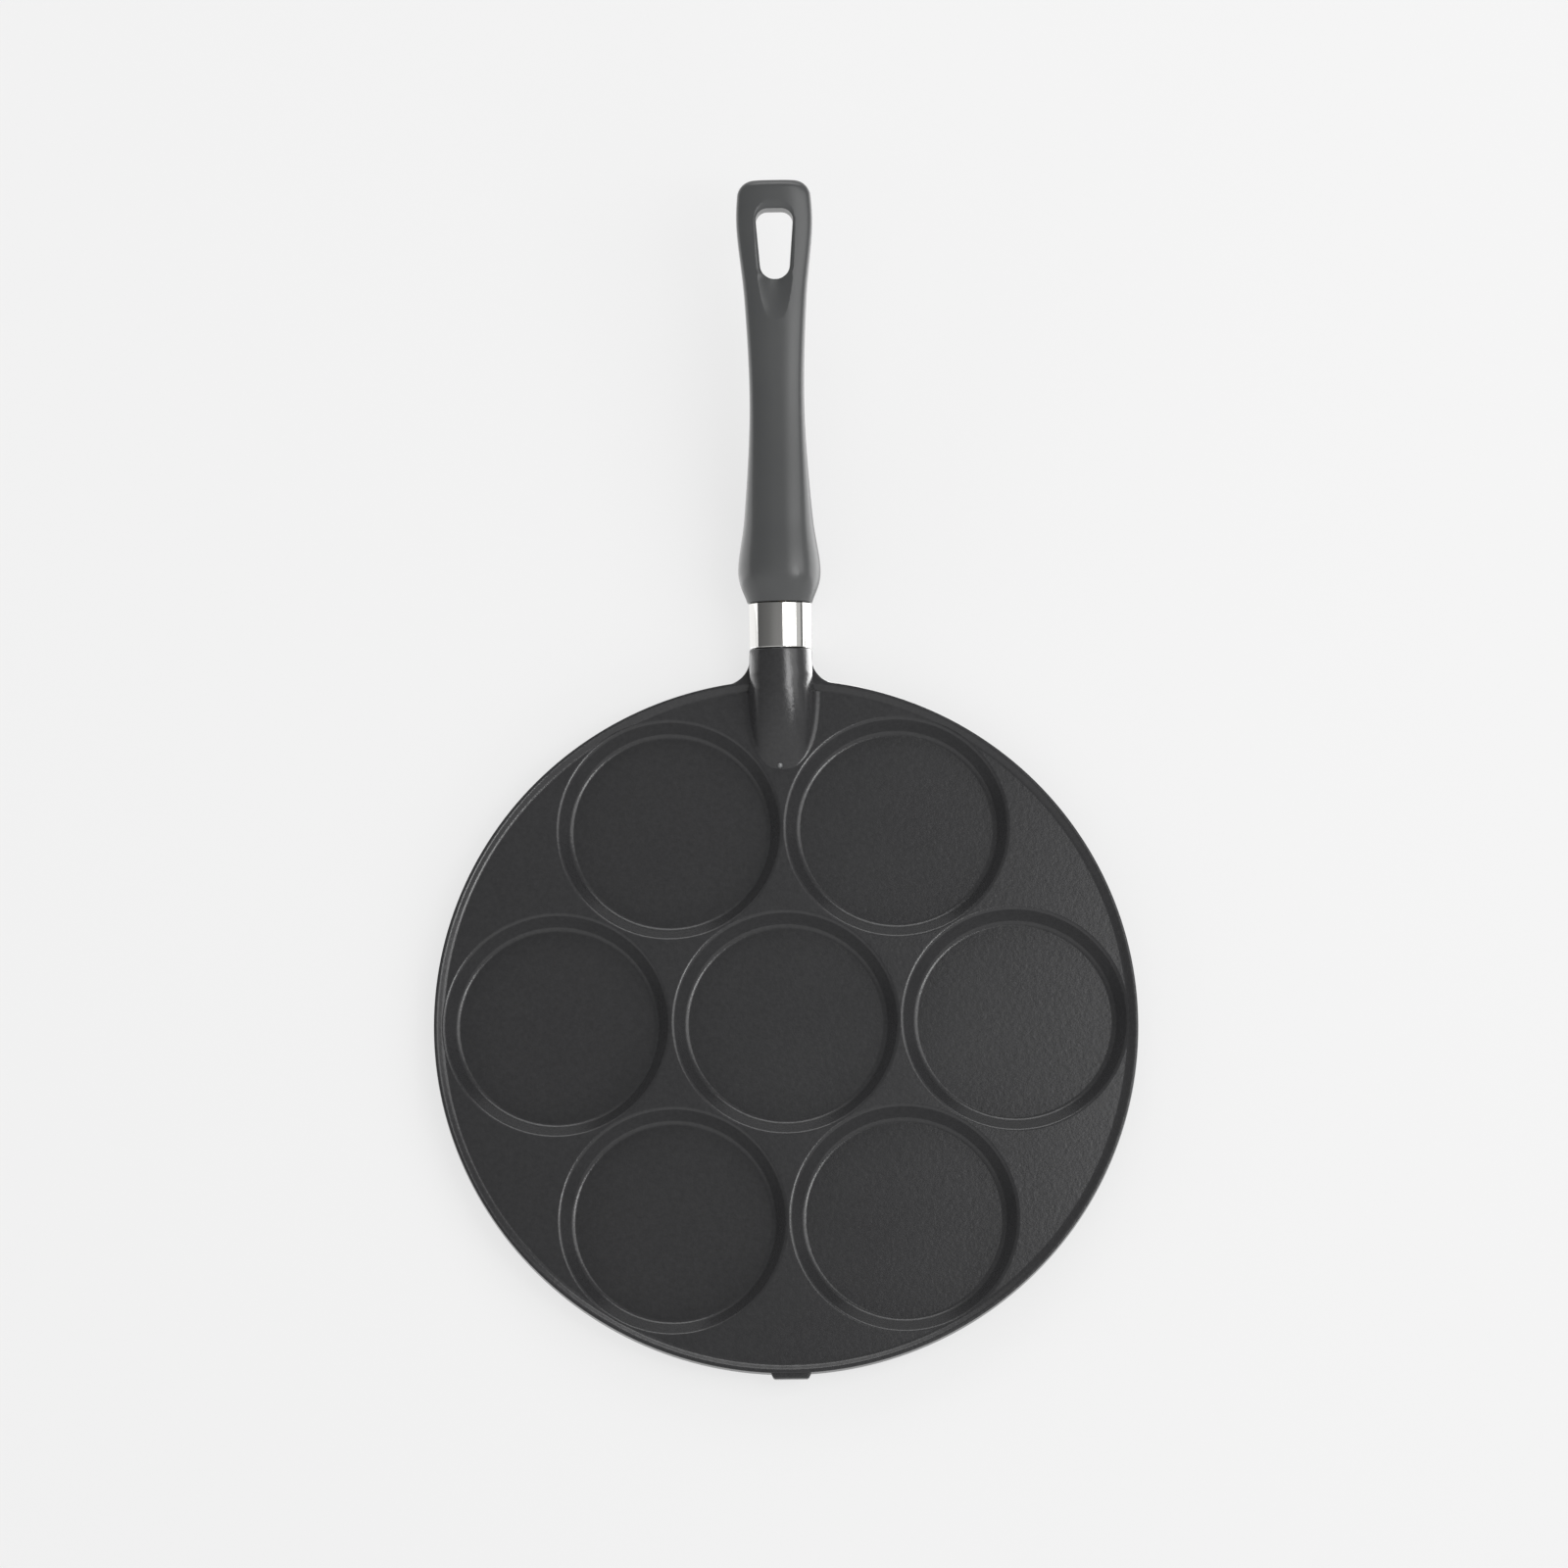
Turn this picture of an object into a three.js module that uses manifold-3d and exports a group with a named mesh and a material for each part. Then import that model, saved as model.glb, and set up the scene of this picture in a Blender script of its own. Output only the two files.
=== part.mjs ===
import * as THREE from 'three';
import { mergeVertices } from 'three/addons/utils/BufferGeometryUtils.js';
import Module from 'manifold-3d';

// A cast plett pan with seven round wells, in millimetres. The base stands on z = 0, the middle well
// is centred on the z axis and the handle runs out along +y.

// Wells: one in the middle and a ring of six round it.
const WELLS_IN_RING = 6;
const WELL_FLOOR_DIAMETER = 76.2;
const WELL_DEPTH = 6.35;
const WELL_WALL_LEAN = 35;
const WELL_FLOOR_FILLET = 1.6;
const WELL_MOUTH_FILLET = 1.2;
const WELL_LAND = 0.55;

// Casting thicknesses, the rim and the small lug on the rim.
const FLOOR_THICKNESS = 4;
const PLATE_THICKNESS = 4;
const WALL_THICKNESS = 4;
const PAD_EDGE_RADIUS = 1.5;
const RIM_LAND = 0.3;
const RIM_RUN = 1.4;
const RIM_WIDTH = 1.58;
const RIM_HEIGHT = 3.2;
const RIM_ROOT_FILLET = 1.2;
const RIM_SKIRT_FLARE = 0.4;
const RIM_EDGE_RADIUS = 1.2;
const LUG_BASE_WIDTH = 16.5;
const LUG_TIP_WIDTH = 13;
const LUG_REACH = 2;
const LUG_THICKNESS = 5;

// Boss: an arched tongue that climbs from the plate over the rim to a round end.
const HANDLE_RISE = 11;
const BOSS_DIAMETER = 24;
const BOSS_SWELL = 0.4;
const BOSS_TONGUE = 34.6;
const BOSS_TIP_STEP = 0.5;
const BOSS_TIP_SLOPE = 32;
const BOSS_TIP_RADIUS = 13.4;
const BOSS_FOOT_FILLET = 3;
const BOSS_REACH = 9.05;
const BOSS_CROWN_RISE = 15.25;
const BOSS_KEEL_AT_RIM = 6;
const BOSS_EDGE = 0.4;
const SHOULDER_FILLET = 8;

// Fastening along the handle's axis.
const GAP = 0.3;
const SPIGOT_LENGTH = 6;
const GUARD_LENGTH = 17.4;
const GUARD_WALL = 1;
const GUARD_EDGE = 0.4;
const STUD_DIAMETER = 6.35;
const STUD_IN_BOSS = 13.5;
const STUD_IN_INSERT = 20;
const STUD_TIP_CHAMFER = 0.8;
const STUD_END_ROOM = 1;
const WASHER_HOLE = 8;
const WASHER_DIAMETER = 17;
const WASHER_THICKNESS = 0.6;
const WASHER_WAVE = 0.5;
const WASHER_WAVES = 3;
const INSERT_DIAMETER = 11;
const INSERT_LENGTH = 24;
const INSERT_GROOVE_DEPTH = 0.8;
const INSERT_GROOVE_WIDTH = 5;

// Handle: widths and thicknesses at its collar, bulb, swell, neck, root of the loop and loop.
const HANDLE_LENGTH = 163.3;
const COLLAR_DIAMETER = 25;
const BULB_WIDTH = 31.6;
const BULB_THICKNESS = 30;
const SWELL_WIDTH = 26.4;
const SWELL_THICKNESS = 25.4;
const NECK_WIDTH = 21.2;
const NECK_THICKNESS = 17;
const ROOT_WIDTH = 24;
const ROOT_THICKNESS = 15;
const LOOP_WIDTH = 29.5;
const LOOP_THICKNESS = 13;
const END_WIDTH = 27.6;
const END_CORNER_RADIUS = 6;
const END_EDGE_RADIUS = 3;
const GRIP_SQUARENESS = 3.2;

// Hanging slot and the scoop that leads into its lower end.
const END_BAR = 11.2;
const SLOT_LENGTH = 27.2;
const SLOT_TOP_WIDTH = 15;
const SLOT_BOTTOM_WIDTH = 10.6;
const SLOT_TOP_CORNER = 4.5;
const SLOT_BOTTOM_CORNER = 5.2;
const SLOT_EDGE = 2;
const SLOT_BACK_EDGE = 0.5;
const SCOOP_LENGTH = 16;
const SCOOP_DEPTH = 3.4;
const SCOOP_TOP_WIDTH = 12.6;
const SCOOP_END_WIDTH = 9;
const SCOOP_FADE = 1.5;

// Facets round the turned shapes.
const RIM_FACETS = 72;
const WELL_FACETS = 36;
const TUBE_FACETS = 32;
const PIN_FACETS = 16;

const wasm = await Module();
wasm.setup();

const radians = (angle) => THREE.MathUtils.degToRad(angle);
const lerp = THREE.MathUtils.lerp;

// Turns a closed geometry into a solid for joining and cutting, with its faces pointing outward.
function solid(geometry) {
  geometry.deleteAttribute('normal');
  geometry.deleteAttribute('uv');
  const joined = mergeVertices(geometry, 1e-4);
  const points = joined.attributes.position.array;
  const corner = (i) => new THREE.Vector3().fromArray(points, 3 * i);
  const faces = [];
  let volume = 0;
  for (let i = 0; i < joined.index.count; i += 3) {
    const [a, b, c] = joined.index.array.slice(i, i + 3);
    if (a !== b && b !== c && c !== a) {
      faces.push([a, b, c]);
      volume += corner(a).dot(corner(b).cross(corner(c)));
    }
  }
  const outward = volume > 0 ? faces : faces.map(([a, b, c]) => [a, c, b]);
  const triVerts = Uint32Array.from(outward.flat());
  const vertProperties = Float32Array.from(points);
  return new wasm.Manifold(new wasm.Mesh({ numProp: 3, vertProperties, triVerts }));
}

// Rounds the corners of a polyline given as rows of x, y and an optional corner radius.
function rounded(corners, steps) {
  const count = corners.length;
  return corners.flatMap(([x, y, radius = 0], i) => {
    const corner = new THREE.Vector2(x, y);
    if (radius === 0) {
      return [corner];
    }
    const toward = (row) => new THREE.Vector2(row[0], row[1]).sub(corner).normalize();
    const back = toward(corners[(i + count - 1) % count]);
    const ahead = toward(corners[(i + 1) % count]);
    const half = Math.acos(back.dot(ahead)) / 2;
    const centre = back.clone().add(ahead).setLength(radius / Math.sin(half)).add(corner);
    const start = corner.clone().addScaledVector(back, radius / Math.tan(half)).sub(centre);
    const turn = Math.sign(back.cross(start)) * (Math.PI - 2 * half);
    const origin = new THREE.Vector2();
    const spoke = (k) => start.clone().rotateAround(origin, (turn * k) / steps).add(centre);
    return Array.from({ length: steps + 1 }, (unused, k) => spoke(k));
  });
}

// Spins a profile of radius and height round the z axis.
function turned(profile, facets) {
  return new THREE.LatheGeometry(profile, facets).rotateX(Math.PI / 2);
}

// Skins a row of closed outlines that have the same number of points and closes both ends.
function loft(stations) {
  const count = stations[0].outline.length;
  const place = ({ outline, frame }) =>
    outline.flatMap((p) => new THREE.Vector3(p.x, p.y, 0).applyMatrix4(frame).toArray());
  const index = [];
  for (let row = 0; row + 1 < stations.length; row += 1) {
    for (let j = 0; j < count; j += 1) {
      const a = row * count + j;
      const b = row * count + ((j + 1) % count);
      index.push(a, b, a + count, b, b + count, a + count);
    }
  }
  const last = (stations.length - 1) * count;
  const cap = (station) => THREE.ShapeUtils.triangulateShape(station.outline, []);
  cap(stations[0]).forEach(([a, b, c]) => index.push(a, c, b));
  cap(stations.at(-1)).forEach(([a, b, c]) => index.push(last + a, last + b, last + c));
  const geometry = new THREE.BufferGeometry();
  geometry.setAttribute('position', new THREE.Float32BufferAttribute(stations.flatMap(place), 3));
  geometry.setIndex(index);
  return geometry;
}

// A rounded rectangle between an ellipse and a box, with the given half sizes.
function softRectangle(halfWidth, halfHeight, squareness, count) {
  const bulge = (value) => Math.sign(value) * Math.abs(value) ** (2 / squareness);
  return Array.from({ length: count }, (unused, i) => {
    const angle = (2 * Math.PI * i) / count;
    return new THREE.Vector2(halfWidth * bulge(Math.cos(angle)), halfHeight * bulge(Math.sin(angle)));
  });
}

// A plane square to the handle's rise, with its y axis up and its z axis outward along the handle.
function tilted(rise, position) {
  const across = new THREE.Vector3(-1, 0, 0);
  const up = new THREE.Vector3(0, -Math.sin(rise), Math.cos(rise));
  const along = new THREE.Vector3(0, Math.cos(rise), Math.sin(rise));
  return new THREE.Matrix4().makeBasis(across, up, along).setPosition(position);
}

// Heights and radii that follow from the wells.
const lean = radians(WELL_WALL_LEAN);
const floorHeight = FLOOR_THICKNESS;
const plateTop = FLOOR_THICKNESS + WELL_DEPTH;
const plateUnder = plateTop - PLATE_THICKNESS;
const rimTop = plateTop + RIM_HEIGHT;
const floorRadius = WELL_FLOOR_DIAMETER / 2;
const mouthRadius = floorRadius + WELL_DEPTH * Math.tan(lean);
const mouthReach = mouthRadius + WELL_MOUTH_FILLET * Math.tan((Math.PI / 2 - lean) / 2);
const ringRadius = 2 * mouthReach + WELL_LAND;
const rimRoot = ringRadius + mouthReach + RIM_LAND;
const panRadius = rimRoot + RIM_RUN + RIM_WIDTH;

const wellCentres = [[0, 0]];
for (let k = 0; k < WELLS_IN_RING; k += 1) {
  const angle = (2 * Math.PI * k) / WELLS_IN_RING;
  wellCentres.push([ringRadius * Math.cos(angle), ringRadius * Math.sin(angle)]);
}

// The plate with its raised rim.
const plateProfile = rounded([
  [0, plateUnder],
  [panRadius + RIM_SKIRT_FLARE, plateUnder, RIM_EDGE_RADIUS],
  [panRadius, rimTop, RIM_WIDTH * 0.45],
  [panRadius - RIM_WIDTH, rimTop, RIM_WIDTH * 0.35],
  [rimRoot, plateTop, RIM_ROOT_FILLET],
  [0, plateTop],
], 2);
let body = solid(turned(plateProfile, RIM_FACETS));

// Each well shows below as a round pad, its wall parallel to the wall of the well.
const wallAcross = WALL_THICKNESS / Math.cos(lean);
const wallAt = (height) => floorRadius + (height - floorHeight) * Math.tan(lean) + wallAcross;
const padTop = plateUnder + PLATE_THICKNESS / 4;
const padProfile = rounded([
  [0, 0],
  [wallAt(0), 0, PAD_EDGE_RADIUS],
  [wallAt(padTop), padTop],
  [0, padTop],
], 2);
wellCentres.forEach(([x, y]) => {
  body = body.add(solid(turned(padProfile, WELL_FACETS).translate(x, y, 0)));
});

// The boss is skinned from crowns that stand on the plate, then from rounds outside the rim.
const rise = radians(HANDLE_RISE);
const bossRadius = BOSS_DIAMETER / 2;
const seamCrownY = panRadius + BOSS_REACH;
const bossTip = panRadius - BOSS_TONGUE;
const run = seamCrownY - bossTip;
const tipSlope = Math.tan(radians(BOSS_TIP_SLOPE));
const endSlope = Math.tan(rise);
const climb = (BOSS_CROWN_RISE - BOSS_TIP_STEP) / run;
const crownBend = (3 * climb - 2 * tipSlope - endSlope) / run;
const crownTwist = (tipSlope + endSlope - 2 * climb) / run ** 2;
const crownHeight = (t) => BOSS_TIP_STEP + t * (tipSlope + t * (crownBend + t * crownTwist));
const crownSteps = Array.from({ length: 13 }, (unused, k) => k / 12);
const footSteps = [0, 1 / 3, 2 / 3];
const mirror = (points) => points.map((p) => new THREE.Vector2(-p.x, p.y)).reverse();

// A round crown sunk into the plate, with a fillet along each foot.
function crownOutline(height, radius) {
  const fillet = BOSS_FOOT_FILLET;
  const sunk = radius - height;
  const toe = Math.sqrt((radius + fillet) ** 2 - (fillet + sunk) ** 2);
  const spring = Math.atan2(fillet + sunk, toe);
  const right = [new THREE.Vector2(toe, plateTop - PLATE_THICKNESS / 2)];
  footSteps.map((step) => lerp(1.5 * Math.PI, Math.PI + spring, step)).forEach((angle) => {
    const up = plateTop + fillet * (1 + Math.sin(angle));
    right.push(new THREE.Vector2(toe + fillet * Math.cos(angle), up));
  });
  const crown = crownSteps.map((step) => lerp(spring, Math.PI - spring, step)).map((angle) =>
    new THREE.Vector2(radius * Math.cos(angle), plateTop - sunk + radius * Math.sin(angle)));
  return [...right, ...crown, ...mirror(right)];
}

function roundOutline(radius, keel) {
  const right = [-80, -60, -40, -20].map(radians).map((angle) =>
    new THREE.Vector2(radius * Math.cos(angle), keel * Math.sin(angle)));
  const crown = crownSteps.map((step) =>
    new THREE.Vector2(radius * Math.cos(Math.PI * step), radius * Math.sin(Math.PI * step)));
  return [...right, ...crown, ...mirror(right)];
}

const bossStations = [{
  outline: crownOutline(BOSS_TIP_STEP / 10, BOSS_TIP_RADIUS),
  frame: tilted(0, new THREE.Vector3(0, bossTip - BOSS_TIP_STEP, 0)),
}];
[0, 0.06, 0.15, 0.29, 0.46, 0.64, 0.82, 0.95].forEach((share) => {
  const t = share * (rimRoot - bossTip);
  const radius = lerp(BOSS_TIP_RADIUS, bossRadius + BOSS_SWELL, share);
  const frame = tilted(0, new THREE.Vector3(0, bossTip + t, 0));
  bossStations.push({ outline: crownOutline(crownHeight(t), radius), frame });
});
const seamUp = new THREE.Vector3(0, -Math.sin(rise), Math.cos(rise));
const seamAlong = new THREE.Vector3(0, Math.cos(rise), Math.sin(rise));
const seamCrown = new THREE.Vector3(0, seamCrownY, plateTop + BOSS_CROWN_RISE);
[0.05, 0.4, 0.75].forEach((share) => {
  const y = lerp(panRadius, seamCrownY, share);
  const radius = bossRadius + BOSS_SWELL * (1 - share);
  const tilt = rise * share;
  const up = new THREE.Vector3(0, -Math.sin(tilt), Math.cos(tilt));
  const crown = new THREE.Vector3(0, y, plateTop + crownHeight(y - bossTip));
  const keel = lerp(BOSS_KEEL_AT_RIM, bossRadius, share);
  const frame = tilted(tilt, crown.addScaledVector(up, -radius));
  bossStations.push({ outline: roundOutline(radius, keel), frame });
});
const seam = seamCrown.clone().addScaledVector(seamUp, -bossRadius);
[[-BOSS_EDGE, bossRadius], [0, bossRadius - BOSS_EDGE]].forEach(([s, radius]) => {
  const frame = tilted(rise, seam.clone().addScaledVector(seamAlong, s));
  bossStations.push({ outline: roundOutline(radius, radius), frame });
});
body = body.add(solid(loft(bossStations)));

// Shoulders that round the boss into the rim, and the lug on the far side of the rim.
const shoulderX = bossRadius + SHOULDER_FILLET;
const shoulderY = Math.sqrt((panRadius + SHOULDER_FILLET) ** 2 - shoulderX ** 2);
const shoulderTurn = Math.atan2(shoulderY, shoulderX);
const rimMiddle = panRadius - RIM_WIDTH;
const shoulders = new THREE.Shape();
shoulders.absarc(shoulderX, shoulderY, SHOULDER_FILLET, shoulderTurn + Math.PI, Math.PI, true);
shoulders.absarc(-shoulderX, shoulderY, SHOULDER_FILLET, 0, -shoulderTurn, true);
shoulders.absarc(0, 0, rimMiddle, Math.PI - shoulderTurn, shoulderTurn, true);
const shoulderBevel = RIM_WIDTH / 2;
const shoulderPrism = new THREE.ExtrudeGeometry(shoulders, {
  depth: rimTop - plateUnder - 2 * shoulderBevel - RIM_EDGE_RADIUS / 2,
  curveSegments: 4,
  bevelThickness: shoulderBevel,
  bevelSize: shoulderBevel,
  bevelOffset: -shoulderBevel,
  bevelSegments: 2,
}).translate(0, 0, plateUnder + shoulderBevel + RIM_EDGE_RADIUS / 2);
body = body.add(solid(shoulderPrism));

const lugRoot = -rimMiddle;
const lugTip = -panRadius - LUG_REACH;
const lugOutline = new THREE.Shape(rounded([
  [-LUG_BASE_WIDTH / 2, lugRoot],
  [-LUG_TIP_WIDTH / 2, lugTip, LUG_REACH * 0.6],
  [LUG_TIP_WIDTH / 2, lugTip, LUG_REACH * 0.6],
  [LUG_BASE_WIDTH / 2, lugRoot],
], 4));
const lugPrism = new THREE.ExtrudeGeometry(lugOutline, {
  depth: LUG_THICKNESS - 2 * shoulderBevel,
  bevelThickness: shoulderBevel,
  bevelSize: shoulderBevel,
  bevelOffset: -shoulderBevel,
  bevelSegments: 2,
}).translate(0, 0, rimTop - LUG_THICKNESS);
body = body.add(solid(lugPrism));

// The wells are cut last, so that they bite into the feet of the boss.
const clearHeight = plateTop + BOSS_CROWN_RISE + bossRadius;
const wellProfile = rounded([
  [0, floorHeight],
  [floorRadius, floorHeight, WELL_FLOOR_FILLET],
  [mouthRadius, plateTop, WELL_MOUTH_FILLET],
  [mouthReach + WELL_LAND / 4, plateTop],
], 2).slice(0, -1);
wellProfile.push(new THREE.Vector2(mouthReach, clearHeight), new THREE.Vector2(0, clearHeight));
wellCentres.forEach(([x, y]) => {
  body = body.subtract(solid(turned(wellProfile, WELL_FACETS).translate(x, y, 0)));
});

// Shapes along the handle's axis are turned about z and laid on the seam at the end of the boss.
const onSeam = tilted(rise, seam);
const along = (profile, facets) => solid(turned(profile, facets).applyMatrix4(onSeam));
const boreRadius = STUD_DIAMETER / 2 + GAP;
const innerRadius = bossRadius - GUARD_WALL - GAP;
const spigot = rounded([
  [0, -BOSS_EDGE - GAP],
  [innerRadius, -BOSS_EDGE - GAP],
  [innerRadius, SPIGOT_LENGTH, GUARD_EDGE],
  [0, SPIGOT_LENGTH],
], 2);
const stem = (radius, from, to) => rounded([
  [0, from],
  [radius - STUD_TIP_CHAMFER, from],
  [radius, from + STUD_TIP_CHAMFER],
  [radius, to - STUD_TIP_CHAMFER],
  [radius - STUD_TIP_CHAMFER, to],
  [0, to],
], 1);
body = body.add(along(spigot, TUBE_FACETS));
body = body.subtract(along(stem(boreRadius, -STUD_IN_BOSS - GAP, SPIGOT_LENGTH + SLOT_EDGE), PIN_FACETS));

// The flame guard is a plain tube with eased edges.
const guardEnd = GAP + GUARD_LENGTH;
const guardBore = bossRadius - GUARD_WALL;
const guardProfile = rounded([
  [guardBore, GAP, GUARD_EDGE],
  [bossRadius, GAP, GUARD_EDGE],
  [bossRadius, guardEnd, GUARD_EDGE],
  [guardBore, guardEnd, GUARD_EDGE],
], 2);
guardProfile.push(guardProfile[0]);
const guard = along(guardProfile, TUBE_FACETS);

// The wave washer is a flat ring whose height follows a wave round the stud.
const washerMiddle = SPIGOT_LENGTH + GAP + WASHER_WAVE + WASHER_THICKNESS / 2;
const washerProfile = [
  [WASHER_HOLE / 2, -WASHER_THICKNESS / 2],
  [WASHER_DIAMETER / 2, -WASHER_THICKNESS / 2],
  [WASHER_DIAMETER / 2, WASHER_THICKNESS / 2],
  [WASHER_HOLE / 2, WASHER_THICKNESS / 2],
  [WASHER_HOLE / 2, -WASHER_THICKNESS / 2],
].map(([radius, height]) => new THREE.Vector2(radius, height));
const washerRing = turned(washerProfile, TUBE_FACETS);
const washerPoints = washerRing.attributes.position;
for (let i = 0; i < washerPoints.count; i += 1) {
  const angle = Math.atan2(washerPoints.getY(i), washerPoints.getX(i));
  const lift = washerMiddle + WASHER_WAVE * Math.cos(WASHER_WAVES * angle);
  washerPoints.setZ(i, washerPoints.getZ(i) + lift);
}
const washer = solid(washerRing.applyMatrix4(onSeam));

// The stud joins the boss to the insert, which is anchored in the handle by a groove.
const pilotStart = SPIGOT_LENGTH + 2 * GAP + 2 * WASHER_WAVE + WASHER_THICKNESS;
const stud = along(stem(STUD_DIAMETER / 2, -STUD_IN_BOSS, pilotStart + STUD_IN_INSERT), PIN_FACETS);
function insertProfile(extra) {
  const outer = INSERT_DIAMETER / 2 + extra;
  const waist = outer - INSERT_GROOVE_DEPTH;
  const middle = pilotStart + INSERT_LENGTH / 2;
  const half = INSERT_GROOVE_WIDTH / 2 - extra;
  return [
    [0, pilotStart - extra],
    [outer, pilotStart - extra],
    [outer, middle - half],
    [waist, middle - half + INSERT_GROOVE_DEPTH],
    [waist, middle + half - INSERT_GROOVE_DEPTH],
    [outer, middle + half],
    [outer, pilotStart + INSERT_LENGTH + extra],
    [0, pilotStart + INSERT_LENGTH + extra],
  ].map(([radius, height]) => new THREE.Vector2(radius, height));
}
const insertBore = stem(boreRadius, 0, pilotStart + STUD_IN_INSERT + STUD_END_ROOM);
const insert = along(insertProfile(0), PIN_FACETS).subtract(along(insertBore, PIN_FACETS));

// The handle is skinned from soft rectangles whose sizes follow one curve from collar to loop.
const gripStart = guardEnd + GAP;
const gripEnd = gripStart + HANDLE_LENGTH;
const bulbPlace = gripStart + HANDLE_LENGTH * 0.063;
const neckPlace = gripStart + HANDLE_LENGTH * 0.46;
const loopPlace = gripStart + HANDLE_LENGTH * 0.902;
const form = new THREE.CatmullRomCurve3([
  [gripStart, COLLAR_DIAMETER, COLLAR_DIAMETER],
  [bulbPlace, BULB_WIDTH, BULB_THICKNESS],
  [lerp(bulbPlace, neckPlace, 0.35), SWELL_WIDTH, SWELL_THICKNESS],
  [neckPlace, NECK_WIDTH, NECK_THICKNESS],
  [lerp(neckPlace, loopPlace, 0.58), ROOT_WIDTH, ROOT_THICKNESS],
  [loopPlace, LOOP_WIDTH, LOOP_THICKNESS],
  [gripEnd, END_WIDTH, LOOP_THICKNESS],
].map(([s, width, thickness]) => new THREE.Vector3(s, width / 2, thickness / 2)));
const formRows = form.getPoints(90);
function formAt(s) {
  const row = Math.max(1, formRows.findIndex((p) => p.x >= s - 1e-6));
  const [before, after] = [formRows[row - 1], formRows[row]];
  return before.clone().lerp(after, (s - before.x) / (after.x - before.x));
}
const cornerLoss = (s, radius) => {
  const past = Math.max(0, s - (gripEnd - radius));
  return radius - Math.sqrt(Math.max(0, radius ** 2 - past ** 2));
};
const spread = (from, to, steps) => Array.from({ length: steps }, (unused, k) => lerp(from, to, k / steps));
const endTurns = [0, 0.25, 0.45, 0.62, 0.76, 0.88, 1];
const handlePlaces = [
  ...spread(gripStart, bulbPlace, 4),
  ...spread(bulbPlace, neckPlace, 7),
  ...spread(neckPlace, loopPlace, 8),
  ...spread(loopPlace, gripEnd - END_CORNER_RADIUS, 2),
  ...endTurns.map((turn) => gripEnd - END_CORNER_RADIUS * (1 - Math.sin((turn * Math.PI) / 2))),
];
const squarePlace = lerp(bulbPlace, neckPlace, 0.1);
const handleStations = handlePlaces.map((s) => {
  const { y: halfWidth, z: halfThickness } = formAt(s);
  const squareness = lerp(2, GRIP_SQUARENESS, THREE.MathUtils.smoothstep(s, gripStart, squarePlace));
  const wide = halfWidth - cornerLoss(s, END_CORNER_RADIUS);
  const thick = halfThickness - cornerLoss(s, END_EDGE_RADIUS);
  const frame = tilted(rise, seam.clone().addScaledVector(seamAlong, s));
  return { outline: softRectangle(wide, thick, squareness, 32), frame };
});
const pilot = rounded([
  [0, pilotStart],
  [innerRadius, pilotStart, GUARD_EDGE],
  [innerRadius, gripStart + GAP],
  [0, gripStart + GAP],
], 2);
let handle = solid(loft(handleStations)).add(along(pilot, TUBE_FACETS));
handle = handle.subtract(along(insertProfile(GAP), PIN_FACETS));

// The hanging slot goes through the loop with eased edges, and tapers toward the grip.
const slotTop = gripEnd - END_BAR;
const slotBottom = slotTop - SLOT_LENGTH;
const slotOutline = (extra) => rounded([
  [-SLOT_BOTTOM_WIDTH / 2 - extra, slotBottom - extra, SLOT_BOTTOM_CORNER + extra],
  [SLOT_BOTTOM_WIDTH / 2 + extra, slotBottom - extra, SLOT_BOTTOM_CORNER + extra],
  [SLOT_TOP_WIDTH / 2 + extra, slotTop + extra, SLOT_TOP_CORNER + extra],
  [-SLOT_TOP_WIDTH / 2 - extra, slotTop + extra, SLOT_TOP_CORNER + extra],
], 5);
const slotHalf = (formAt(slotBottom).z + GAP);
const slotFace = formAt(slotTop).z;
const slotStations = [
  [-slotHalf, SLOT_BACK_EDGE + slotHalf - slotFace],
  [SLOT_BACK_EDGE - slotFace, 0],
  [slotFace - SLOT_EDGE, 0],
  [slotHalf, SLOT_EDGE + slotHalf - slotFace],
].map(([height, extra]) => ({
  outline: slotOutline(extra),
  frame: new THREE.Matrix4().makeTranslation(0, 0, height),
}));
const slotCutter = loft(slotStations).rotateX(-Math.PI / 2).rotateY(Math.PI);
handle = handle.subtract(solid(slotCutter.applyMatrix4(onSeam)));

// The scoop is a shallow channel that runs out into the front of the grip.
const scoopStations = [-0.12, 0, 0.2, 0.4, 0.6, 0.8, 1].map((share) => {
  const s = slotBottom - share * SCOOP_LENGTH;
  const width = lerp(SCOOP_TOP_WIDTH, SCOOP_END_WIDTH, Math.max(0, share));
  const depth = SCOOP_DEPTH * (1 - share) ** SCOOP_FADE + GAP / 10;
  const frame = new THREE.Matrix4().makeTranslation(0, formAt(s).z, s);
  return { outline: softRectangle(width / 2, depth, 2.6, 24), frame };
});
handle = handle.subtract(solid(loft(scoopStations).applyMatrix4(onSeam)));

// Named meshes with their finishes.
function piece(name, shape, color, roughness, metalness) {
  const result = shape.getMesh();
  const geometry = new THREE.BufferGeometry();
  geometry.setAttribute('position', new THREE.Float32BufferAttribute(result.vertProperties, 3));
  geometry.setIndex(new THREE.Uint32BufferAttribute(result.triVerts, 1));
  geometry.computeVertexNormals();
  const mesh = new THREE.Mesh(geometry, new THREE.MeshStandardMaterial({ color, roughness, metalness }));
  mesh.name = name;
  return mesh;
}

const plettPan = new THREE.Group();
plettPan.name = 'plett_pan';
plettPan.add(
  piece('pan_body', body, 0x2e3032, 0.55, 0.1),
  piece('handle_stud', stud, 0x9a9c9e, 0.35, 1),
  piece('flame_guard', guard, 0xd2d2d0, 0.12, 1),
  piece('wave_washer', washer, 0xa8aaac, 0.35, 1),
  piece('handle', handle, 0x3a3c3e, 0.45, 0),
  piece('threaded_insert', insert, 0xb8923e, 0.35, 1),
);

export default plettPan;
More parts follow.
